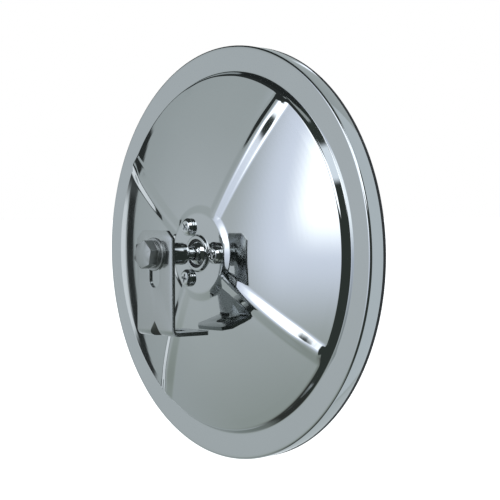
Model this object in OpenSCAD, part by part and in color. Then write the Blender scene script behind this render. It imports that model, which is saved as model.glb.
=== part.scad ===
// Round convex mirror head on an L-bracket.
// +Z is up. The mirror looks along -Y and the bracket stands behind it, at +Y.
// The origin is the centre of the bracket's fixing hole, on its underside.

/* [Bracket] */
// Width of the bracket's strip
strip_w = 29.5; // [28:0.5:34]
// Thickness of the bracket's strip
strip_t = 2; // [1.5:0.1:2.2]
// Height of the stud's axis over the underside
stud_z = 41.2; // [38:0.2:46]
// Height of the upright's top over the stud's axis
top_over_stud = 12; // [11:0.5:14]
// Fixing hole's axis to the upright's outer face
upright_y = 14.7; // [13:0.1:18]
// Fixing hole's axis to the end of the lower leg
foot_y = 12; // [10:0.5:12.5]
// Diameter of the fixing hole
fixing_d = 8.8; // [7:0.1:9.4]
// Width of the slot for the stud's bolt
slot_w = 8.5; // [8.4:0.1:9]
// Travel of the stud down the slot
slot_travel = 12.7; // [8:0.1:13]
// Width of the pressed dart across the bend
dart_w = 11; // [8:0.5:12]
// Height of the pressed dart up the upright
dart_h = 7.5; // [6:0.5:8]

/* [Mirror head] */
// Outer diameter of the head
head_d = 216; // [200:1:220]
// Back face of the rim, from the fixing hole's axis
rim_y = -33; // [-35:0.5:-33]
// Thickness of the pressed steel shell
shell_t = 0.8; // [0.6:0.1:1]
// Radius at the foot of the dome's shoulder
shoulder_r = 95.3; // [94:0.1:97]
// Radius at the top of the shoulder
dome_r = 91; // [90:0.1:92]
// Radius of curvature of the dome
dome_curve_r = 283; // [275:1:295]
// Height of the dome over the rim, at a radius of 24 mm
dome_h = 18.4; // [18:0.1:18.6]
// Depth of the rim's side wall
wall_h = 8.8; // [8:0.1:10]
// Inward lean of the side wall
wall_lean = 0.5; // [0:0.1:0.8]

/* [Ribs and boss] */
// Number of pressed ribs
ribs = 4; // [2:1:4]
// Angle of the first rib
rib_angle = 58; // [54:1:62]
// Half-round radius of a rib
rib_r = 6; // [5.5:0.1:6.4]
// Radius of curvature of a rib's crest, which is flatter than the dome
rib_curve_r = 360; // [330:5:400]
// Radius where a rib ends, at the shoulder
rib_end_r = 92; // [84:1:93]
// Radius of the central boss
boss_r = 22.5; // [21:0.5:24]
// Height of the boss over the rim
boss_h = 19.8; // [19.6:0.1:20]

/* [Ball socket] */
// Diameter of the ball
ball_d = 16; // [15:0.5:16]
// Height of the ball's centre over the rim
ball_h = 15.7; // [15.5:0.1:15.8]
// Thickness of the nylon seats
seat_t = 0.95; // [0.8:0.05:1]
// Outer radius of the lip round the ball
lip_r = 9.3; // [9.2:0.1:9.5]
// Height of the lip over the rim
lip_h = 21.3; // [21:0.1:21.5]
// Number of clamp screws
clamp_screws = 3; // [3:1:3]
// Radius of the circle of clamp screws
screw_circle_r = 15.3; // [15.2:0.1:15.6]
// Angle of the first clamp screw
screw_angle = 58; // [50:1:70]

/* [Glass] */
// Radius of curvature of the mirror's face
glass_curve_r = 480; // [450:10:520]
// Thickness of the glass
glass_t = 3; // [2.5:0.1:3.2]
// Radius of the glass disc
glass_r = 104; // [103:0.5:104]

/* [Stud and bolt] */
// Diameter of the stud's neck
neck_d = 7; // [6:0.5:7.5]
// Diameter of the stud's shank
shank_d = 11.5; // [11:0.5:12]
// Height where the shank starts, over the rim
shank_h = 28.8; // [28:0.1:30]
// Thread diameter of the bolt
bolt_d = 8; // [7.5:0.1:8]
// Width of the bolt's head across its flats
bolt_af = 12.7; // [12:0.1:13]
// Height of the bolt's head
bolt_head_h = 5; // [4:0.1:6]

/* [Hidden] */
$fn = 96;

eps = 0.01;           // overlap that joins or cuts cleanly
fit = 0.05;           // running clearance of the ball and its seats
head_r = head_d / 2;

// Bracket
bend_in = 1.5;
bend_out = bend_in + strip_t;
corner_cut = 4;       // corners cut off, along the strip
corner_w = 4.6;       // and across it
dart_l = 24;          // length of the V that cuts the dart, more than it needs
dart_over = 2;        // and how far its open side stands clear of the bend
dart_slope = dart_w / dart_h / sqrt(2);
upright_top = stud_z + top_over_stud;
upright_in = upright_y - strip_t;

// Dome: a sphere whose centre lies in front of the rim
dome_c = dome_h - sqrt(pow(dome_curve_r, 2) - 24 * 24);
function dome_at(r) = dome_c + sqrt(pow(dome_curve_r, 2) - r * r);

// Socket
ball_r = ball_d / 2;
seat_in = ball_r + fit;
seat_out = seat_in + seat_t;
cup_in = seat_out + fit;
seat_gap = 1.6;       // each seat's edge from the ball's middle
seat_rear = 4.9;      // the rear seat's open end, over the ball's middle
seat_front = -6.5;    // and the front seat's, under it
cup_wall = 1.05;
plate_t = 1.5;
plate_r = 20.8;
plate_top = boss_h - shell_t - 0.9;   // the gap that the screws pull closed
screw_d = 5;
screw_hole_d = 5.3;
screw_head_r = 4.6;
screw_head_h = 3.1;
screw_side_h = 1.4;   // straight side of the screw's head
screw_top_r = 3;
screw_slot_w = 1;     // the driver's cross
screw_slot_l = 4.8;
screw_slot_h = 1.6;   // its depth
nut_af = 8;
nut_h = 4;
tooth_washer_t = 0.6;
tooth_washer_r = 4.5;

// Glass: the sphere's centre lies behind the rim
glass_edge = -wall_h + 0.1;
glass_c = glass_edge + sqrt(pow(glass_curve_r, 2) - glass_r * glass_r);
coating_t = 0.2;
foam_t = 3;
foam_r = 96;
bead_h = 2;           // the gasket's bead over the steel's edge
channel_h = 5.4;      // its channel inside the shell
grip = 3;             // the channel's reach over the glass

// Stud and bolt
upright_in_h = upright_in - rim_y;    // heights over the rim, as the head's are
upright_out_h = upright_y - rim_y;
washer_t = 1;
washer_r = 8.4;
lock_t = 1.6;
lock_r = 7;
lock_gap = 1;         // the lock washer's split
lock_slant = 20;
head_turn = 18;       // how far round the bolt came to rest
thread_l = 12;        // thread engaged in the shank

// Stands a shape built along +Z on the rim, about the mirror's own axis
module on_head() {
    translate([0, rim_y, stud_z]) rotate([-90, 0, 0]) children();
}

module ring(r_out, r_in, h) {
    difference() {
        cylinder(r = r_out, h = h);
        translate([0, 0, -1]) cylinder(r = r_in, h = h + 2);
    }
}

// ---- bracket ----

// A plate with its two far corners cut off, flat on XY and rising along +Y
module cut_plate(from, to) {
    w = strip_w / 2;
    linear_extrude(strip_t)
        polygon([[-w, from], [w, from], [w, to - corner_cut], [w - corner_w, to],
                 [corner_w - w, to], [-w, to - corner_cut]]);
}

// A long V that lies across the bend at 45 degrees and opens outwards, sunk by a depth
module dart_v(sunk) {
    apex = dart_h / sqrt(2) + sunk;          // from the bend's corner in to the V's deepest line
    half = dart_slope * (apex + dart_over);
    translate([0, upright_y, 0]) rotate([-45, 0, 0]) linear_extrude(dart_l, center = true)
        polygon([[0, -apex], [half, dart_over], [-half, dart_over]]);
}

// The strip, flat along the foot, round the bend and up the upright
module bent_strip() {
    translate([0, 0, strip_t]) mirror([0, 1, 0]) mirror([0, 0, 1])
        cut_plate(bend_out - upright_y, foot_y);
    translate([0, upright_in, 0]) rotate([90, 0, 0]) mirror([0, 0, 1])
        cut_plate(bend_out, upright_top);
    translate([strip_w / 2, upright_y - bend_out, bend_out]) rotate([0, -90, 0])
        intersection() {
            ring(bend_out, bend_in, strip_w);
            translate([-bend_out, 0, 0]) cube([bend_out, bend_out, strip_w]);
        }
}

module bracket() {
    color("silver") difference() {
        union() {
            bent_strip();
            intersection() {
                dart_v(strip_t / sin(atan(dart_slope)));
                translate([-strip_w / 2, 0, strip_t / 2])
                    cube([strip_w, upright_y - strip_t / 2, upright_top / 2]);
            }
        }
        dart_v(0);
        translate([0, 0, -1]) cylinder(d = fixing_d, h = strip_t + 2);
        for (z = [stud_z, stud_z - slot_travel])
            translate([0, upright_in - 1, z]) rotate([-90, 0, 0])
                cylinder(d = slot_w, h = strip_t + 2);
        translate([-slot_w / 2, upright_in - 1, stud_z - slot_travel])
            cube([slot_w, strip_t + 2, slot_travel]);
    }
}

// ---- stud, bolt and washers ----

module ball_stud() {
    color("gainsboro") on_head() difference() {
        union() {
            translate([0, 0, ball_h]) sphere(r = ball_r);
            translate([0, 0, ball_h]) cylinder(d = neck_d, h = shank_h - ball_h + 1);
            translate([0, 0, shank_h]) cylinder(d1 = shank_d - 2, d2 = shank_d, h = 1);
            translate([0, 0, shank_h + 1])
                cylinder(d = shank_d, h = upright_in_h - shank_h - 1);
        }
        translate([0, 0, upright_in_h - thread_l])
            cylinder(r = bolt_d / 2 + fit, h = thread_l + 1);
    }
}

module flat_washer() {
    color("lightgray") on_head() translate([0, 0, upright_out_h])
        ring(washer_r, bolt_d / 2 + 0.2, washer_t);
}

module split_lock_washer() {
    color("gray") on_head() translate([0, 0, upright_out_h + washer_t]) difference() {
        ring(lock_r, bolt_d / 2 + 0.2, lock_t);
        rotate([0, lock_slant, 0]) translate([3, -lock_gap / 2, -3]) cube([6, lock_gap, 9]);
    }
}

module hex_bolt() {
    seat = upright_out_h + washer_t + lock_t;
    color("lightgray") on_head() {
        translate([0, 0, seat]) rotate(head_turn)
            cylinder(d = bolt_af / cos(30), h = bolt_head_h, $fn = 6);
        translate([0, 0, upright_in_h - thread_l + 1])
            cylinder(d = bolt_d, h = seat - upright_in_h + thread_l - 1 + eps);
    }
}

// ---- ball socket ----

// The part of a hollow ball between two heights over its centre
module ball_zone(r_out, r_in, low, high) {
    translate([0, 0, ball_h]) intersection() {
        difference() {
            sphere(r = r_out);
            sphere(r = r_in);
        }
        translate([0, 0, low]) cylinder(r = r_out + 1, h = high - low);
    }
}

module ball_seat_rear() {
    color("dimgray") on_head() ball_zone(seat_out, seat_in, seat_gap, seat_rear);
}

module ball_seat_front() {
    color("dimgray") on_head() ball_zone(seat_out, seat_in, seat_front, -seat_gap);
}

module at_screws() {
    for (i = [0 : clamp_screws - 1]) at_screw(i) children();
}

module at_screw(i) {
    rotate(screw_angle + i * 360 / clamp_screws) translate([screw_circle_r, 0, 0]) children();
}

module clamp_plate() {
    color("darkgray") on_head() difference() {
        union() {
            translate([0, 0, ball_h]) intersection() {
                sphere(r = cup_in + cup_wall);
                translate([0, 0, -20]) cylinder(r = 20, h = 20 + plate_top - ball_h - 0.1);
            }
            translate([0, 0, plate_top - plate_t]) cylinder(r = plate_r, h = plate_t);
        }
        translate([0, 0, ball_h]) sphere(r = cup_in);
        at_screws() translate([0, 0, plate_top - 3]) cylinder(d = screw_hole_d, h = 5);
    }
}

module clamp_screw(i) {
    tip = plate_top - plate_t - tooth_washer_t - nut_h - 1;
    color("silver") on_head() at_screw(i) difference() {
        union() {
            translate([0, 0, tip]) cylinder(d = screw_d, h = boss_h - tip + 1);
            translate([0, 0, boss_h]) cylinder(r = screw_head_r, h = screw_side_h);
            translate([0, 0, boss_h + screw_side_h])
                cylinder(r1 = screw_head_r, r2 = screw_top_r, h = screw_head_h - screw_side_h);
        }
        for (a = [30, 120])
            rotate(a) translate([0, 0, boss_h + screw_head_h])
                cube([screw_slot_l, screw_slot_w, screw_slot_h * 2], center = true);
    }
}

module tooth_washer(i) {
    color("gray") on_head() at_screw(i)
        translate([0, 0, plate_top - plate_t - tooth_washer_t])
            ring(tooth_washer_r, screw_d / 2 + 0.1, tooth_washer_t);
}

module clamp_nut(i) {
    color("silver") on_head() at_screw(i)
        translate([0, 0, plate_top - plate_t - tooth_washer_t - nut_h]) difference() {
            cylinder(d = nut_af / cos(30), h = nut_h, $fn = 6);
            translate([0, 0, -1]) cylinder(r = screw_d / 2 + fit, h = nut_h + 2);
        }
}

// ---- pressed steel shell ----

// One rib, drawn in by t: a bent round bar whose crest starts level with the boss's top
module rib(t) {
    from = asin((boss_r - 2.5 + t) / rib_curve_r);
    to = asin((rib_end_r - t) / rib_curve_r);
    translate([0, 0, boss_h - rib_curve_r]) rotate([90, 0, 0]) rotate(90 - to)
        rotate_extrude(angle = to - from) translate([rib_curve_r - rib_r, 0]) circle(rib_r - t);
}

// The shell's solid form, drawn in by t on every side for its inner wall
module shell_form(t) {
    intersection() {
        translate([0, 0, dome_c]) sphere(r = dome_curve_r - t, $fn = 200);
        cylinder(r = dome_r - t, h = 40);
    }
    translate([0, 0, -t]) cylinder(r1 = shoulder_r - t * 0.6, r2 = dome_r - t, h = dome_at(dome_r));
    cylinder(r = boss_r - t, h = boss_h - t);
    for (i = [0 : ribs - 1])
        rotate(rib_angle + i * 360 / ribs) intersection() {
            rib(t);
            cylinder(r = shoulder_r - t, h = 40);
        }
}

module back_shell() {
    color("lightsteelblue") on_head() difference() {
        union() {
            shell_form(0);
            translate([0, 0, -wall_h])
                cylinder(r1 = head_r - wall_lean, r2 = head_r, h = wall_h);
            translate([0, 0, ball_h]) cylinder(r = lip_r, h = lip_h - ball_h);
        }
        shell_form(shell_t);
        translate([0, 0, -wall_h - 1])
            cylinder(r1 = head_r - wall_lean - shell_t, r2 = head_r - shell_t,
                     h = wall_h + 1 - shell_t);
        translate([0, 0, ball_h]) sphere(r = cup_in);
        at_screws() translate([0, 0, boss_h - 3]) cylinder(d = screw_hole_d, h = 5);
    }
}

// ---- glass, its coating and its gasket ----

// A dished disc between two radii of curvature about the glass's centre
module dish(curve_out, curve_in, r) {
    intersection() {
        translate([0, 0, glass_c]) difference() {
            sphere(r = curve_out, $fn = 200);
            sphere(r = curve_in, $fn = 200);
        }
        translate([0, 0, -40]) cylinder(r = r, h = 50);
    }
}

module mirror_glass() {
    color("lightcyan") on_head() dish(glass_curve_r, glass_curve_r - glass_t, glass_r);
}

module silver_coating() {
    color("white") on_head()
        dish(glass_curve_r - glass_t, glass_curve_r - glass_t - coating_t, glass_r - 1);
}

module foam_pad() {
    inner = glass_curve_r - glass_t - coating_t;
    color("dimgray") on_head() dish(inner, inner - foam_t, foam_r);
}

// A channel that holds the glass's edge, with a bead over the steel's edge
module rubber_gasket() {
    body_r = head_r - wall_lean - shell_t - 0.1;
    color([0.1, 0.1, 0.1]) on_head() difference() {
        union() {
            translate([0, 0, -wall_h - bead_h]) cylinder(r = head_r - wall_lean, h = bead_h);
            translate([0, 0, -wall_h]) cylinder(r = body_r, h = channel_h);
        }
        translate([0, 0, -wall_h - bead_h - 1])
            cylinder(r = glass_r - grip, h = channel_h + bead_h + 2);
        dish(glass_curve_r + fit, glass_curve_r - glass_t - coating_t - fit, glass_r + fit);
    }
}

bracket();
ball_stud();
flat_washer();
split_lock_washer();
hex_bolt();
ball_seat_rear();
ball_seat_front();
back_shell();
clamp_plate();
clamp_screw(0);  // clamp_screw_1
clamp_screw(1);  // clamp_screw_2
clamp_screw(2);  // clamp_screw_3
tooth_washer(0);  // tooth_washer_1
tooth_washer(1);  // tooth_washer_2
tooth_washer(2);  // tooth_washer_3
clamp_nut(0);  // clamp_nut_1
clamp_nut(1);  // clamp_nut_2
clamp_nut(2);  // clamp_nut_3
foam_pad();
silver_coating();
mirror_glass();
rubber_gasket();
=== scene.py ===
import math

import bmesh
import bpy
from mathutils import Matrix, Vector


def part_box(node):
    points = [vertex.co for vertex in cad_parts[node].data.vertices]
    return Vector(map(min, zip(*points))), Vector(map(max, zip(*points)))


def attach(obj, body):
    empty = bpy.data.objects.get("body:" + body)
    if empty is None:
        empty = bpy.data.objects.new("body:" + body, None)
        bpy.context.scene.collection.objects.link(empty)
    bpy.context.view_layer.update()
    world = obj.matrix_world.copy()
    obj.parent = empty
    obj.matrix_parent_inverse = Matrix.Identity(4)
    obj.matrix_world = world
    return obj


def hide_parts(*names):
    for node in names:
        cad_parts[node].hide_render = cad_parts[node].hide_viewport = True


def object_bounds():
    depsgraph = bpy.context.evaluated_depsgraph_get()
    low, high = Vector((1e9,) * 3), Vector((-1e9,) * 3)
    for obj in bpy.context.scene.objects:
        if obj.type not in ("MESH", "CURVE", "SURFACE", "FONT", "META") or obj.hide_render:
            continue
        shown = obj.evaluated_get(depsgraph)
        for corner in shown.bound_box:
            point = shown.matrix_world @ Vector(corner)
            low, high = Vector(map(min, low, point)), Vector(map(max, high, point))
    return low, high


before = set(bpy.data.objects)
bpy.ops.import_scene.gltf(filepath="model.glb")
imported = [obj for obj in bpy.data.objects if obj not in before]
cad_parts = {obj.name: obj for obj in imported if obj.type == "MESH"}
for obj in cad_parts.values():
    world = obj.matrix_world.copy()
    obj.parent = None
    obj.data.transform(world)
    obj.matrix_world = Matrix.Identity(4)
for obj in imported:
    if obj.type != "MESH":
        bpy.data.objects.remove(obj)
cad_low, cad_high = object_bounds()

# ---- Studio: camera, floor and light ----
# A long lens stands level with the head, behind and to one side of it. The floor is a flat pale plane.
# The light is a plain soft studio: a dim room, a large softbox, two windows and black flags.
MM = 0.001
shell_low, shell_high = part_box("back_shell")
LIP_TOP = 21.3  # height of the ball lip over the rim, in mm
head_centre = Vector((
    (shell_low.x + shell_high.x) / 2,
    shell_high.y - LIP_TOP * MM,
    (shell_low.z + shell_high.z) / 2,
))

CAMERA_AZIMUTH = math.radians(230.6)
CAMERA_ELEVATION = math.radians(1.3)
CAMERA_ROLL = math.radians(-0.22)
CAMERA_DISTANCE = 850 * MM
LENS = 116.9
SENSOR_WIDTH = 36
AIM_RIGHT = 11.5 * MM
AIM_UP = 1.3 * MM
to_camera = Vector((
    math.sin(CAMERA_AZIMUTH) * math.cos(CAMERA_ELEVATION),
    -math.cos(CAMERA_AZIMUTH) * math.cos(CAMERA_ELEVATION),
    math.sin(CAMERA_ELEVATION),
))
turn = to_camera.to_track_quat("Z", "Y")
aim = head_centre + turn @ Vector((AIM_RIGHT, AIM_UP, 0))
camera = bpy.data.objects.new("camera", bpy.data.cameras.new("camera"))
camera.data.lens = LENS
camera.data.sensor_width = SENSOR_WIDTH
camera.location = aim + to_camera * CAMERA_DISTANCE
camera.rotation_mode = "QUATERNION"
camera.rotation_quaternion = turn @ Matrix.Rotation(CAMERA_ROLL, 3, "Z").to_quaternion()
bpy.context.scene.collection.objects.link(camera)
bpy.context.scene.camera = camera
bpy.context.scene.view_settings.view_transform = "Standard"


def linear(colour):
    """An sRGB hex colour as linear red, green, blue and alpha."""
    parts = [int(colour[i:i + 2], 16) / 255 for i in (1, 3, 5)]
    return [c / 12.92 if c <= 0.04045 else ((c + 0.055) / 1.055) ** 2.4 for c in parts] + [1]


def add_node(tree, kind, settings=None, **inputs):
    """Adds a node. A setting is an attribute; an input is a value or another node's output."""
    made = tree.nodes.new(kind)
    for name, value in (settings or {}).items():
        setattr(made, name, value)
    for name, value in inputs.items():
        socket = made.inputs[int(name[1:])] if name[1:].isdigit() else made.inputs[name.replace("_", " ")]
        if isinstance(value, bpy.types.NodeSocket):
            tree.links.new(value, socket)
        else:
            socket.default_value = value
    return made


world = bpy.data.worlds.new("soft_studio")
bpy.context.scene.world = world
world.use_nodes = True
sky = world.node_tree
sky.nodes.clear()
direction = add_node(sky, "ShaderNodeTexCoord").outputs["Generated"]
along = add_node(sky, "ShaderNodeSeparateXYZ", Vector=direction).outputs
mirrored_x = add_node(sky, "ShaderNodeMath", {"operation": "MULTIPLY"}, i0=along["X"], i1=-1.0)
turned = add_node(sky, "ShaderNodeMath", {"operation": "ARCTAN2"}, i0=mirrored_x.outputs[0], i1=along["Y"])
raised = add_node(sky, "ShaderNodeMath", {"operation": "ARCSINE"}, i0=along["Z"])
AZIMUTH = add_node(sky, "ShaderNodeMath", {"operation": "DEGREES"}, i0=turned.outputs[0]).outputs[0]
HEIGHT = add_node(sky, "ShaderNodeMath", {"operation": "DEGREES"}, i0=raised.outputs[0]).outputs[0]

up_share = add_node(sky, "ShaderNodeMapRange", Value=HEIGHT, From_Min=-90.0, From_Max=90.0)
room = add_node(sky, "ShaderNodeValToRGB", Fac=up_share.outputs[0])
ROOM = (
    # height over the horizon in degrees, colour
    (-90, (0.04, 0.045, 0.04)),
    (-65, (0.06, 0.065, 0.06)),
    (-55, (0.26, 0.29, 0.27)),
    (-45, (0.31, 0.35, 0.33)),
    (-33, (0.36, 0.41, 0.39)),
    (-20, (0.47, 0.52, 0.52)),
    (0, (0.58, 0.63, 0.66)),
    (20, (0.48, 0.53, 0.54)),
    (45, (0.44, 0.49, 0.50)),
    (90, (0.36, 0.40, 0.40)),
)
stops = room.color_ramp.elements
for i, (height, colour) in enumerate(ROOM):
    stop = stops[i] if i < 2 else stops.new(1.0)
    stop.position = (height + 90) / 180
    stop.color = (*colour, 1)
light = room.outputs["Color"]


def card(light, sides, heights, soft, colour):
    """Lays a soft-edged card of light or black over the room. Its sides and heights are in degrees."""
    mask = None
    for value, (low, high), edge in ((AZIMUTH, sides, soft[0]), (HEIGHT, heights, soft[1])):
        for at, to in ((low, (0.0, 1.0)), (high, (1.0, 0.0))):
            step = add_node(
                sky, "ShaderNodeMapRange", {"interpolation_type": "SMOOTHSTEP"}, Value=value,
                From_Min=at - edge / 2, From_Max=at + edge / 2, To_Min=to[0], To_Max=to[1],
            ).outputs[0]
            if mask is None:
                mask = step
            else:
                mask = add_node(sky, "ShaderNodeMath", {"operation": "MULTIPLY"}, i0=mask, i1=step).outputs[0]
    return add_node(
        sky, "ShaderNodeMix", {"data_type": "RGBA"}, Factor=mask, i6=light, i7=(*colour, 1)
    ).outputs[2]


BLACK = (0.03, 0.035, 0.035)
CAMERA_BLACK = (0.04, 0.05, 0.045)
CARDS = (
    # azimuths, heights, softness, colour
    ((-140, -70), (-60, 75), (36, 20), (0.42, 0.47, 0.48)),  # the room dims to the far left
    ((-34, 4), (-9, 36), (18, 20), (0.95, 1.03, 1.20)),      # edge of the softbox
    ((-21, 4), (3, 36), (11, 12), (2.0, 2.1, 2.2)),          # heart of the softbox
    ((-150, -89), (-25, 5), (1.5, 4), (0.80, 0.86, 0.90)),   # pale wall past the narrow flag
    ((-130, -83), (5, 91), (1.2, 4), BLACK),                 # black over that wall
    ((-88.5, -83.5), (-20, 6), (1.2, 4), BLACK),             # narrow black flag on the left
    ((-86, -72), (22, 91), (3, 3), BLACK),                   # black over the left, in three steps
    ((-74, -62), (31, 91), (3, 3), BLACK),
    ((-64, 6), (36, 91), (4, 4), BLACK),
    ((3, 112), (-43, 91), (3, 10), CAMERA_BLACK),            # black round the camera
    ((32, 112), (-91, -38), (10, 4), CAMERA_BLACK),          # and under it
    ((12, 60), (19, 46), (4, 5), (2.1, 2.2, 2.3)),           # window above the camera
    ((50, 98), (40, 62), (6, 5), (1.0, 1.1, 1.2)),           # pale ceiling above that
    ((116, 181), (-78, 60), (8, 20), (0.62, 0.69, 0.73)),    # pale wall on the right
    ((-181, -126), (-75, -18), (18, 14), (0.56, 0.62, 0.64)),  # pale floor in front of the mirror
    ((-172, -140), (0, 26), (5, 5), (1.6, 1.7, 1.9)),        # window in front of the mirror
)
for sides, heights, soft, colour in CARDS:
    light = card(light, sides, heights, soft, colour)
lit = add_node(sky, "ShaderNodeBackground", Color=light, Strength=1.0)
plain = add_node(sky, "ShaderNodeBackground", Color=(1, 1, 1, 1), Strength=1.0)
seen = add_node(sky, "ShaderNodeLightPath").outputs["Is Camera Ray"]
mixed = add_node(sky, "ShaderNodeMixShader", i0=seen, i1=lit.outputs[0], i2=plain.outputs[0])
add_node(sky, "ShaderNodeOutputWorld", Surface=mixed.outputs[0])

# The floor glows a little, so that it stays white, and the polished parts don't mirror it.
FLOOR_SIZE = 60.0
FLOOR_GAP = 20 * MM  # clear of the head when the stud slides to its lowest
bm = bmesh.new()
bmesh.ops.create_grid(bm, x_segments=8, y_segments=8, size=FLOOR_SIZE / 2)
bmesh.ops.translate(bm, verts=bm.verts, vec=(0, 0, cad_low.z - FLOOR_GAP))
floor_mesh = bpy.data.meshes.new("floor")
bm.to_mesh(floor_mesh)
bm.free()
floor = bpy.data.objects.new("floor", floor_mesh)
bpy.context.scene.collection.objects.link(floor)
floor.visible_glossy = False
floor.visible_transmission = False
paper = bpy.data.materials.new("white_paper_sweep")
paper.use_nodes = True
shader = paper.node_tree.nodes["Principled BSDF"]
shader.inputs["Base Color"].default_value = linear("#f4f4f2")
shader.inputs["Roughness"].default_value = 0.9
shader.inputs["Emission Color"].default_value = (1, 1, 1, 1)
shader.inputs["Emission Strength"].default_value = 0.9
floor_mesh.materials.append(paper)

# ---- Bracket ----
# A 2 mm stainless strip, folded to an L and pressed with a dart across the fold to stiffen it.
# Its blanked edges are tumbled round, and it is polished. It is the fixed part.
EDGE_ROUND = 0.35 * MM
SHARP = math.radians(25)
FLAT = math.radians(0.4)


def new_material(name, colour, metallic, roughness):
    """A principled material, with its constant values on the shader's own sockets."""
    material = bpy.data.materials.new(name)
    material.use_nodes = True
    shader = material.node_tree.nodes["Principled BSDF"]
    shader.inputs["Base Color"].default_value = linear(colour)
    shader.inputs["Metallic"].default_value = metallic
    shader.inputs["Roughness"].default_value = roughness
    return material, material.node_tree, shader


def mottle(tree, shader, size, low, high, stretch=(1, 1, 1)):
    """Varies the roughness over patches of a real size, as handling and polishing leave it."""
    place = add_node(tree, "ShaderNodeTexCoord").outputs["Object"]
    scaled = add_node(tree, "ShaderNodeMapping", Vector=place, Scale=[s / size for s in stretch])
    noise = add_node(tree, "ShaderNodeTexNoise", Vector=scaled.outputs[0], Scale=1.0, Detail=4.0)
    spread = add_node(
        tree, "ShaderNodeMapRange", Value=noise.outputs["Fac"],
        From_Min=0.3, From_Max=0.7, To_Min=low, To_Max=high,
    )
    tree.links.new(spread.outputs[0], shader.inputs["Roughness"])
    return noise.outputs["Fac"]


def tint(tree, shader, factor, low, high):
    """Varies the colour a little between two hex colours."""
    mix = add_node(
        tree, "ShaderNodeMix", {"data_type": "RGBA"}, Factor=factor, i6=linear(low), i7=linear(high),
    )
    tree.links.new(mix.outputs[2], shader.inputs["Base Color"])


def grain(tree, shader, size, depth, stretch=(1, 1, 1), kind="ShaderNodeTexNoise"):
    """Raises a fine grain of a real size and depth, both in metres."""
    place = add_node(tree, "ShaderNodeTexCoord").outputs["Object"]
    scaled = add_node(tree, "ShaderNodeMapping", Vector=place, Scale=[s / size for s in stretch])
    pattern = add_node(tree, kind, Vector=scaled.outputs[0], Scale=1.0)
    height = pattern.outputs["Fac"] if "Fac" in pattern.outputs else pattern.outputs["Distance"]
    bump = add_node(tree, "ShaderNodeBump", Strength=1.0, Distance=depth, Height=height)
    tree.links.new(bump.outputs[0], shader.inputs["Normal"])


# Polished stainless strip: an even mirror with faint rolling lines down the strip.
bracket_steel, tree, shader = new_material("polished_stainless_strip", "#c0c3c3", 1.0, 0.2)
cloud = mottle(tree, shader, 14 * MM, 0.17, 0.25, stretch=(1, 0.15, 0.15))
tint(tree, shader, cloud, "#babdbd", "#c6c9c9")


def finish_piece(bm, name, body, material, replaces, sharp=SHARP):
    """Makes a piece of a bmesh, shades it smooth up to its sharp edges, and gives it to its body."""
    mesh = bpy.data.meshes.new(name)
    bm.to_mesh(mesh)
    bm.free()
    mesh.shade_smooth()
    mesh.set_sharp_from_angle(angle=sharp)
    mesh.materials.append(material)
    piece = bpy.data.objects.new(name + "_piece", mesh)
    bpy.context.scene.collection.objects.link(piece)
    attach(piece, body)
    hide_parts(*replaces)
    return piece


def rounded_copy(node, width, segments):
    """A merged copy of a CAD node's mesh, with its hard edges rounded."""
    bm = bmesh.new()
    bm.from_mesh(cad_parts[node].data)
    bmesh.ops.remove_doubles(bm, verts=bm.verts, dist=0.001 * MM)
    bmesh.ops.dissolve_limit(bm, angle_limit=FLAT, verts=bm.verts, edges=bm.edges)
    hard = [e for e in bm.edges if e.is_manifold and e.calc_face_angle() > SHARP]
    bmesh.ops.bevel(
        bm, geom=hard, offset=width, offset_type="OFFSET", affect="EDGES",
        segments=segments, profile=0.5, material=-1, clamp_overlap=True,
    )
    return bm


bm = rounded_copy("bracket", EDGE_ROUND, 3)
finish_piece(bm, "bracket", "bracket", bracket_steel, ["bracket"])

# ---- Back shell ----
# One disc of 0.8 mm stainless sheet, drawn to a dome with four ribs, a flat rim and a rolled side.
# A boss in the middle carries the lip that holds the ball. It is buffed to a mirror finish.
HEAD_R = (shell_high.x - shell_low.x) / 2 / MM
SHELL_T = 0.8
DOME_CURVE = 283.0
DOME_CENTRE = -263.58
WALL_H = 8.8
WALL_LEAN = 0.5
BOSS_R = 22.5
BOSS_H = 19.8
LIP_R = 9.3
LIP_MOUTH_R = 7.25
LIP_ROOT_R = 8.43
SHOULDER_FOOT = 94.3
SHOULDER_TOP = 92.6
SKIRT_FROM = 20.7
SKIRT_TO = 24.7
RIB_ANGLES = [math.radians(58 + 90 * i) for i in range(4)]
RIB_HALF = 6.5
RIB_NARROWING = 0.8      # half a rib's width is this much less at the boss
RIB_START = 19.6         # a rib comes up out of the boss here,
RIB_START_RUN = 4        # over this length
RIB_RISE = 0.9           # its crest's height at the boss
RIB_GROWTH = 1.15        # and what the crest gains on its way out
RIB_GROWTH_POWER = 1.3
RIB_FULL = 74            # where the crest has its full height
RIB_DIP = 0.5            # the crest then falls by this much,
RIB_DIP_FROM = 76        # from here on
RIB_DIP_RUN = 12
RIB_END = 90.2           # and it dies out from here to just inside the shoulder's foot
RIB_END_GAP = 0.3
SEGMENTS = 432
CROWDING = 0.7
head_axes = Matrix.Translation(head_centre) @ Matrix.Rotation(math.radians(-90), 4, "X")


def dome_at(r, inside=0.0):
    """Height of the dome over the rim at a radius, in mm."""
    return DOME_CENTRE + math.sqrt((DOME_CURVE - inside) ** 2 - r * r)


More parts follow.
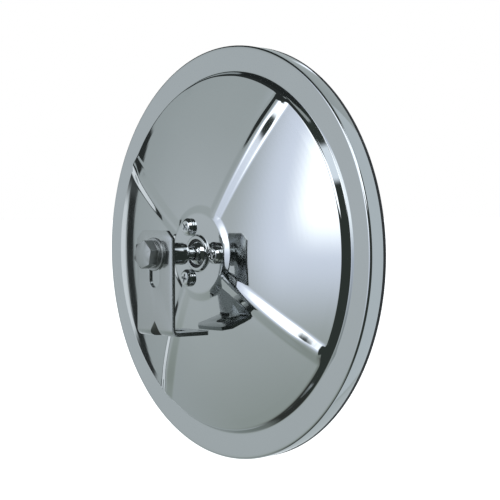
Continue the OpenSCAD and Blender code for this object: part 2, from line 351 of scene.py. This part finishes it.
def spun(corners, segments, closed=True, longest=None):
    """Turns a profile of (radius, height, corner radius) in mm about the head's axis, in metres.
    Each corner is rounded before the turn. An entry of longest is an edge length, the radii that
    it holds between and a function for the height that it holds above; longer edges are cut."""
    bm = bmesh.new()
    verts = [bm.verts.new((r * MM, 0, h * MM)) for r, h, _ in corners]
    for a, b in zip(verts, verts[1:] + verts[:1] if closed else verts[1:]):
        bm.edges.new((a, b))
    for vert, (_, _, radius) in zip(verts, corners):
        if radius:
            ways = [(e.other_vert(vert).co - vert.co).normalized() for e in vert.link_edges]
            half = ways[0].angle(ways[1]) / 2
            bmesh.ops.bevel(
                bm, geom=[vert], offset=radius * MM / math.tan(half), offset_type="OFFSET",
                affect="VERTICES", segments=6 if radius > 0.4 else 3, profile=0.5, material=-1,
                clamp_overlap=False,
            )
    for limit in longest or ():
        keep, r_from, r_to, h_from = limit
        for edge in list(bm.edges):
            mid = (edge.verts[0].co + edge.verts[1].co) / 2
            inside = r_from * MM <= mid.x <= r_to * MM and mid.z >= h_from(mid.x / MM) * MM
            cuts = math.ceil(edge.calc_length() / MM / keep) - 1
            if inside and cuts > 0:
                bmesh.ops.subdivide_edges(bm, edges=[edge], cuts=cuts)
    bmesh.ops.spin(
        bm, geom=bm.verts[:] + bm.edges[:], cent=(0, 0, 0), axis=(0, 0, 1),
        angle=2 * math.pi, steps=segments, use_merge=True, use_duplicate=False,
    )
    bmesh.ops.remove_doubles(bm, verts=bm.verts, dist=0.002 * MM)
    bmesh.ops.recalc_face_normals(bm, faces=bm.faces)
    return bm


def smooth_step(x):
    """0 to 1 with level ends."""
    x = min(1.0, max(0.0, x))
    return x * x * (3 - 2 * x)


def rib_section(q, rounding=0.28):
    """Height of a rib's section from 1 on its crest to 0 at its foot: straight, rounded at both ends."""
    if q >= 1:
        return 0.0
    if q > 1 - rounding:
        return (1 - q) ** 2 / (2 * rounding * (1 - rounding))
    if q > rounding:
        return 1 - (q - rounding / 2) / (1 - rounding)
    return 1 - q * q / (2 * rounding * (1 - rounding))


def rib_lift(r, angle):
    """How far the press tool raises the dome at a point, in mm."""
    lift = 0.0
    for rib in RIB_ANGLES:
        off = (angle - rib + math.pi) % (2 * math.pi) - math.pi
        if abs(off) > math.radians(60):
            continue
        reach = r * math.cos(off)
        side = abs(r * math.sin(off))
        share = min(1.0, max(0.0, (reach - BOSS_R) / (RIB_FULL - BOSS_R)))
        dip = RIB_DIP * smooth_step((reach - RIB_DIP_FROM) / RIB_DIP_RUN)
        crest = RIB_RISE + RIB_GROWTH * share ** RIB_GROWTH_POWER - dip
        half = RIB_HALF - RIB_NARROWING * (1 - share)
        start = smooth_step((reach - RIB_START) / RIB_START_RUN)
        end = 1 - smooth_step((r - RIB_END) / (SHOULDER_FOOT - RIB_END_GAP - RIB_END))
        lift = max(lift, crest * rib_section(side / half) * start * end)
    return lift


def under_skin(r):
    """Half the sheet's thickness under its outer skin: only what lies above it gets extra rows."""
    return dome_at(r) - SHELL_T / 2 if r < SHOULDER_TOP else -SHELL_T / 2


outer_dome = [(r, dome_at(r), 0) for r in range(27, 90, 3)]
inner_dome = [(r, dome_at(r, SHELL_T), 0) for r in range(88, 26, -4)]
shell_corners = [
    (LIP_ROOT_R, BOSS_H - SHELL_T, 0),
    (LIP_MOUTH_R, LIP_TOP, 0.25),
    (LIP_R, LIP_TOP, 0.8),
    (LIP_R, BOSS_H, 0.6),
    (SKIRT_FROM, BOSS_H, 3.5),
    (SKIRT_TO, dome_at(SKIRT_TO), 3.5),
    *outer_dome,
    (SHOULDER_TOP, dome_at(SHOULDER_TOP), 2.0),
    (SHOULDER_FOOT, 0, 0.6),
    (HEAD_R, 0, 1.3),
    (HEAD_R - WALL_LEAN, -WALL_H, 0.2),
    (HEAD_R - WALL_LEAN - SHELL_T, -WALL_H, 0.2),
    (HEAD_R - SHELL_T, -SHELL_T, 0.5),
    (SHOULDER_FOOT - 0.6, -SHELL_T, 0.4),
    (SHOULDER_TOP - 0.8, dome_at(SHOULDER_TOP - 0.8, SHELL_T), 0.7),
    *inner_dome,
    (SKIRT_TO - 0.2, dome_at(SKIRT_TO - 0.2, SHELL_T), 2.0),
    (SKIRT_FROM - 0.2, BOSS_H - SHELL_T, 2.0),
]
bm = spun(
    shell_corners, SEGMENTS,
    longest=((1.3, 9, 88, under_skin), (0.45, 88, 97, under_skin), (0.9, 97, 110, under_skin)),
)
# Rows crowd towards the ribs. A rib adds to the dome, and only fills out the boss's raised skirt.
for vert in bm.verts:
    x, y, z = vert.co / MM
    r = math.hypot(x, y)
    angle = math.atan2(y, x)
    angle -= CROWDING / 4 * math.sin(4 * (angle - RIB_ANGLES[0]))
    if SKIRT_FROM - 1.5 < r < SHOULDER_FOOT and z > -WALL_H / 2:
        base = dome_at(r) if z > dome_at(r) - SHELL_T / 2 else dome_at(r, SHELL_T)
        raised = max(0.0, z - base)
        lift = rib_lift(r, angle)
        z += (raised ** 3 + lift ** 3) ** (1 / 3) - raised
    vert.co = Vector((r * math.cos(angle), r * math.sin(angle), z)) * MM
bm.transform(head_axes)

# Buffed stainless: a bright mirror with a trace of haze in broad patches, as handling leaves it.
polished_stainless, tree, shader = new_material("buffed_stainless_steel", "#cdd0d1", 1.0, 0.05)
cloud = mottle(tree, shader, 35 * MM, 0.03, 0.075)
tint(tree, shader, cloud, "#cacdce", "#d0d3d4")
finish_piece(
    bm, "back_shell", "head", polished_stainless, ["back_shell"],
    sharp=math.radians(50),
)

# ---- Ball stud ----
# A turned steel ball on a short neck, with a thicker shank that is tapped for the bolt.
# It is chromed. The ball sits in the nylon seats, and the shank's end bears on the bracket.
_, stud_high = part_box("ball_stud")
BALL_R = 8.0
BALL_H = 15.7
BALL_STEP = 3.6  # degrees between the ball's rows, from its pole to its neck
BALL_ROWS = 43
NECK_R = 3.5
NECK_FROM = 23.4
SHANK_R = 5.75
SHANK_FROM = 28.8
SHANK_TO = (stud_high.y - head_centre.y) / MM
TAPPED_R = 4.05
TAPPED_H = 12.0
ball_points = [
    (BALL_R * math.sin(a), BALL_H - BALL_R * math.cos(a), 0)
    for a in [math.radians(BALL_STEP * i) for i in range(BALL_ROWS)]
]
stud_corners = [
    *ball_points,
    (NECK_R, NECK_FROM, 0.6),
    (NECK_R, SHANK_FROM - 0.6, 0.8),
    (SHANK_R - 0.9, SHANK_FROM, 0.25),
    (SHANK_R, SHANK_FROM + 1.0, 0.4),
    (SHANK_R, SHANK_TO, 0.3),
    (TAPPED_R + 0.5, SHANK_TO, 0),
    (TAPPED_R, SHANK_TO - 0.5, 0),
    (TAPPED_R, SHANK_TO - TAPPED_H, 0),
    (0, SHANK_TO - TAPPED_H, 0),
]
# Bright chrome plate over turned steel: the hardest, cleanest mirror on the piece.
chrome, tree, shader = new_material("chromed_turned_steel", "#d6d9da", 1.0, 0.04)
cloud = mottle(tree, shader, 6 * MM, 0.03, 0.07)
tint(tree, shader, cloud, "#d2d5d7", "#dadcdc")
bm = spun(stud_corners, segments=96, closed=False, longest=((0.8, 3, 6, lambda r: 18),))
bm.transform(head_axes)
finish_piece(bm, "ball_stud", "stud", chrome, ["ball_stud"], math.radians(40))

# ---- Washers and bolt ----
# A flat washer spans the slot, a split spring washer stops the bolt working loose, and a plain
# hexagon bolt pulls the stud against the bracket. All are cold formed and zinc plated.
flat_low, flat_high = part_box("flat_washer")
lock_low, lock_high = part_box("split_lock_washer")
bolt_low, bolt_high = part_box("hex_bolt")
FLAT_FROM = (flat_low.y - head_centre.y) / MM
FLAT_TO = (flat_high.y - head_centre.y) / MM
LOCK_TO = (lock_high.y - head_centre.y) / MM
HEAD_TO = (bolt_high.y - head_centre.y) / MM
BOLT_FROM = (bolt_low.y - head_centre.y) / MM
HOLE_R = 4.2
LOCK_R = (lock_high.x - lock_low.x) / 2 / MM
WASHER_R = (flat_high.x - flat_low.x) / 2 / MM
BOLT_R = 4.0
ACROSS_FLATS = 12.7
HEAD_TURN = math.radians(18)
SPLIT = math.radians(8)

# Bright zinc plate: a satin grey with a fine crystalline mottle.
zinc, tree, shader = new_material("bright_zinc_plate", "#bfc2c3", 1.0, 0.42)
cloud = mottle(tree, shader, 1.6 * MM, 0.36, 0.46)
tint(tree, shader, cloud, "#b2b5b5", "#bfc2c2")
grain(tree, shader, 0.35 * MM, 0.0008 * MM)

bm = spun([
    (HOLE_R, FLAT_FROM, 0.15),
    (HOLE_R, FLAT_TO, 0.15),
    (WASHER_R, FLAT_TO, 0.45),
    (WASHER_R, FLAT_FROM, 0.15),
], segments=128, longest=((0.6, 4, 9, lambda r: 0),))
bm.transform(head_axes)
finish_piece(bm, "flat_washer", "stud", zinc, ["flat_washer"])

bm = bmesh.new()
lock_corners = [(HOLE_R, FLAT_TO), (LOCK_R, FLAT_TO), (LOCK_R, LOCK_TO), (HOLE_R, LOCK_TO)]
bm.faces.new([bm.verts.new((r * MM, 0, h * MM)) for r, h in lock_corners])
bmesh.ops.bevel(
    bm, geom=bm.verts[:], offset=0.35 * MM, offset_type="OFFSET", affect="VERTICES",
    segments=3, profile=0.5, material=-1, clamp_overlap=True,
)
bmesh.ops.rotate(bm, verts=bm.verts, cent=(0, 0, 0), matrix=Matrix.Rotation(SPLIT / 2, 3, "Z"))
bmesh.ops.spin(
    bm, geom=bm.verts[:] + bm.edges[:] + bm.faces[:], cent=(0, 0, 0), axis=(0, 0, 1),
    angle=2 * math.pi - SPLIT, steps=110, use_merge=False, use_duplicate=False,
)
bmesh.ops.remove_doubles(bm, verts=bm.verts, dist=0.002 * MM)
open_edges = [e for e in bm.edges if e.is_boundary]
if open_edges:
    bmesh.ops.holes_fill(bm, edges=open_edges, sides=0)
bmesh.ops.recalc_face_normals(bm, faces=bm.faces)
bm.transform(head_axes)
finish_piece(bm, "split_lock_washer", "stud", zinc, ["split_lock_washer"])

FACE_R = ACROSS_FLATS / 2 * 0.95
CHAMFER = math.tan(math.radians(28))


def hexagon(bm, across, lowest, chamfers):
    """Squares a turned body's outside to a hexagon; its ends fall away past a circle, as turned."""
    for vert in bm.verts:
        x, y, z = vert.co / MM
        r = math.hypot(x, y)
        if r < BOLT_R + 0.8 or z < lowest:
            continue
        angle = math.atan2(y, x)
        flat = across / 2 / math.cos((angle - HEAD_TURN) % (math.pi / 3) - math.pi / 6)
        share = (r - BOLT_R) / (across / 2 / math.cos(math.pi / 6) - BOLT_R)
        new_r = BOLT_R + share * (flat - BOLT_R)
        for top, way in chamfers:
            drop = max(0.0, new_r - FACE_R) * CHAMFER
            if abs(z - top) < 0.01:
                z = top - way * drop
        vert.co = Vector((new_r * math.cos(angle), new_r * math.sin(angle), z)) * MM


OUT_R = ACROSS_FLATS / 2 / math.cos(math.pi / 6)
bm = spun([
    (0, BOLT_FROM, 0),
    (BOLT_R - 0.6, BOLT_FROM, 0),
    (BOLT_R, BOLT_FROM + 0.6, 0),
    (BOLT_R, LOCK_TO, 0),
    (OUT_R, LOCK_TO, 0),
    (OUT_R, HEAD_TO, 0),
    (0, HEAD_TO, 0),
], segments=144, closed=False, longest=((0.3, 5, 9, lambda r: 50),))
hexagon(bm, ACROSS_FLATS, LOCK_TO - 0.1, ((HEAD_TO, 1),))
hard = [e for e in bm.edges if e.is_manifold and e.calc_face_angle() > math.radians(20)]
bmesh.ops.bevel(
    bm, geom=hard, offset=0.16 * MM, offset_type="OFFSET", affect="EDGES",
    segments=2, profile=0.5, material=-1, clamp_overlap=True,
)
bm.transform(head_axes)
finish_piece(bm, "hex_bolt", "stud", zinc, ["hex_bolt"])

# ---- Clamp screws ----
# Three pan-head machine screws with a cross recess. They pull the clamp plate up to the boss
# and so set how stiffly the ball turns. Their heads are cold formed and chromed.
SCREW_CIRCLE = 15.3
SCREW_ANGLES = [math.radians(58 + 120 * i) for i in range(3)]
SCREW_HEAD_R = 4.6
SCREW_HEAD_H = 3.1
SCREW_SIDE_H = 1.5
SCREW_CROWN_R = 3.1
SCREW_CROWN_H = 0.12
SCREW_R = 2.5
RECESS_TURN = math.radians(20)
RECESS_ARM = 2.35
RECESS_HALF = 0.52
RECESS_DEPTH = 1.5
RECESS_TAPER = 0.35    # share of its width that an arm loses by its end
RECESS_FLANK = 0.2     # an arm's sides slope over this width,
RECESS_SPREAD = 0.12   # starting this far outside it
RECESS_RAMP = 0.9      # and its end slopes over this length
screw_low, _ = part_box("clamp_screw_1")
SCREW_FROM = (screw_low.y - head_centre.y) / MM
for i, screw_angle in enumerate(SCREW_ANGLES):
    top = BOSS_H + SCREW_HEAD_H
    bm = spun([
        (0, SCREW_FROM, 0),
        (SCREW_R - 0.4, SCREW_FROM, 0),
        (SCREW_R, SCREW_FROM + 0.4, 0),
        (SCREW_R, BOSS_H, 0),
        (SCREW_HEAD_R, BOSS_H, 0.2),
        (SCREW_HEAD_R, BOSS_H + SCREW_SIDE_H, 0.9),
        (SCREW_CROWN_R, top - SCREW_CROWN_H, 1.6),
        (0, top, 0),
    ], segments=120, closed=False, longest=(
        (0.1, 0, 3.2, lambda r: BOSS_H + SCREW_SIDE_H),
        (0.4, 3, 5, lambda r: BOSS_H),
    ))
    for vert in bm.verts:
        x, y, z = vert.co / MM
        if z < BOSS_H + SCREW_SIDE_H:
            continue
        deepest = 0.0
        for along_arm, across_arm in ((abs(x), abs(y)), (abs(y), abs(x))):
            taper = 1 - along_arm / RECESS_ARM * RECESS_TAPER
            side = smooth_step((RECESS_HALF * taper + RECESS_SPREAD - across_arm) / RECESS_FLANK)
            end = smooth_step((RECESS_ARM - along_arm) / RECESS_RAMP)
            deepest = max(deepest, side * end)
        vert.co.z = (z - RECESS_DEPTH * deepest) * MM
    bm.transform(Matrix.Rotation(RECESS_TURN, 4, "Z"))
    centre = Matrix.Rotation(screw_angle, 4, "Z") @ Matrix.Translation((SCREW_CIRCLE * MM, 0, 0))
    bm.transform(head_axes @ centre)
    node = f"clamp_screw_{i + 1}"
    finish_piece(bm, node, "head", chrome, [node], math.radians(60))

# ---- Glass and its silvering ----
# A bent disc of 3 mm float glass, silvered on its back, so that it bulges towards the shop.
# The glass is ground at its edge. The silvering is a chemical coat under a protective paint.
glass_low, glass_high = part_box("mirror_glass")
GLASS_R = (glass_high.x - glass_low.x) / 2 / MM
GLASS_CURVE = 480.0
GLASS_T = 3.0
GLASS_CENTRE = (glass_low.y - head_centre.y) / MM + GLASS_CURVE
COATING_T = 0.17
COATING_GAP = 0.02
DISH_ROWS = 26


def dish_at(curve, r):
    """Height of a dish's surface over the rim at a radius, in mm."""
    return GLASS_CENTRE - math.sqrt(curve * curve - r * r)


def dish(curve, thickness, rim):
    """A closed dished disc, turned from its pole to its rim and back."""
    radii = [rim * i / DISH_ROWS for i in range(DISH_ROWS)]
    front = [(r, dish_at(curve, r), 0) for r in radii]
    back = [(r, dish_at(curve - thickness, r), 0) for r in reversed(radii)]
    ground = min(0.5, thickness / 4)
    edge = [(rim, dish_at(curve, rim), ground), (rim, dish_at(curve - thickness, rim), ground)]
    return spun(front + edge + back, segments=192, closed=False)


# Clear float glass, faintly green through its thickness and at its ground edge.
glass, tree, shader = new_material("float_glass", "#f1faf6", 0.0, 0.0)
shader.inputs["IOR"].default_value = 1.52
shader.inputs["Transmission Weight"].default_value = 1.0
mottle(tree, shader, 60 * MM, 0.0, 0.012)
bm = dish(GLASS_CURVE, GLASS_T, GLASS_R)
bm.transform(head_axes)
finish_piece(bm, "mirror_glass", "head", glass, ["mirror_glass"])

# Chemically deposited silver: the brightest and most neutral metal here.
silver, tree, shader = new_material("deposited_silver", "#f4f5f3", 1.0, 0.01)
cloud = mottle(tree, shader, 45 * MM, 0.0, 0.02)
tint(tree, shader, cloud, "#f2f4f2", "#f6f6f4")
bm = dish(GLASS_CURVE - GLASS_T - COATING_GAP, COATING_T, GLASS_R - 1)
bm.transform(head_axes)
finish_piece(bm, "silver_coating", "head", silver, ["silver_coating"])

# ---- Rubber gasket ----
# A moulded channel of black rubber. It grips the glass's edge, and its bead covers the steel's
# edge, so that the head shows a soft dark line all round.
gasket_low, gasket_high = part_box("rubber_gasket")
BEAD_R = HEAD_R - WALL_LEAN
BEAD_FROM = (gasket_low.y - head_centre.y) / MM
GASKET_TO = (gasket_high.y - head_centre.y) / MM
BODY_R = BEAD_R - SHELL_T - 0.1
LIP_IN = GLASS_R - 3
GROOVE = 0.05
# Black EPDM rubber: a soft sheen over a fine moulded grain.
rubber, tree, shader = new_material("black_epdm_rubber", "#17181a", 0.0, 0.5)
cloud = mottle(tree, shader, 5 * MM, 0.42, 0.62)
tint(tree, shader, cloud, "#121314", "#1f2123")
grain(tree, shader, 0.5 * MM, 0.02 * MM)
bm = spun([
    (LIP_IN, BEAD_FROM, 0.6),
    (BEAD_R, BEAD_FROM, 0.5),
    (BEAD_R, -WALL_H - 0.05, 0.15),
    (BODY_R, -WALL_H - 0.05, 0),
    (BODY_R, GASKET_TO, 0.3),
    (LIP_IN, GASKET_TO, 0.3),
    (LIP_IN, dish_at(GLASS_CURVE - GLASS_T, LIP_IN) + 0.3, 0),
    (GLASS_R + GROOVE, dish_at(GLASS_CURVE - GLASS_T, GLASS_R) + 0.3, 0),
    (GLASS_R + GROOVE, dish_at(GLASS_CURVE, GLASS_R) - GROOVE, 0),
    (LIP_IN, dish_at(GLASS_CURVE, LIP_IN) - GROOVE, 0),
], segments=256, longest=((0.8, 100, 109, lambda r: -12),))
bm.transform(head_axes)
finish_piece(bm, "rubber_gasket", "head", rubber, ["rubber_gasket"])

# ---- Inside the head ----
# Two moulded nylon seats hold the ball; a pressed plate with three nuts and toothed washers
# clamps them, and a disc of foam keeps the glass from rattling. They keep the CAD's shapes.
# Moulded nylon, filled with graphite so that the ball turns easily: near black with a soft sheen.
nylon, tree, shader = new_material("graphite_filled_nylon", "#1c1d1e", 0.0, 0.38)
cloud = mottle(tree, shader, 4 * MM, 0.32, 0.46)
tint(tree, shader, cloud, "#17181a", "#242527")
# Plain pressed steel: dull grey, lightly oiled, with a faint patchy mottle.
plain_steel, tree, shader = new_material("oiled_pressed_steel", "#8e9092", 1.0, 0.4)
cloud = mottle(tree, shader, 8 * MM, 0.32, 0.5)
tint(tree, shader, cloud, "#7f8183", "#9a9c9e")
# Closed-cell polyurethane foam: matt dark grey with cells under a millimetre, drawn at 1.2 mm.
foam, tree, shader = new_material("polyurethane_foam", "#46484a", 0.0, 0.95)
cloud = mottle(tree, shader, 1.2 * MM, 0.88, 1.0)
tint(tree, shader, cloud, "#3a3c3e", "#525456")
grain(tree, shader, 1.2 * MM, 0.3 * MM, kind="ShaderNodeTexVoronoi")
INSIDE = {
    "ball_seat_rear": nylon,
    "ball_seat_front": nylon,
    "clamp_plate": plain_steel,
    "foam_pad": foam,
    **{f"tooth_washer_{i}": zinc for i in (1, 2, 3)},
    **{f"clamp_nut_{i}": zinc for i in (1, 2, 3)},
}
for node, material in INSIDE.items():
    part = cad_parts[node]
    part.data.materials.clear()
    part.data.materials.append(material)
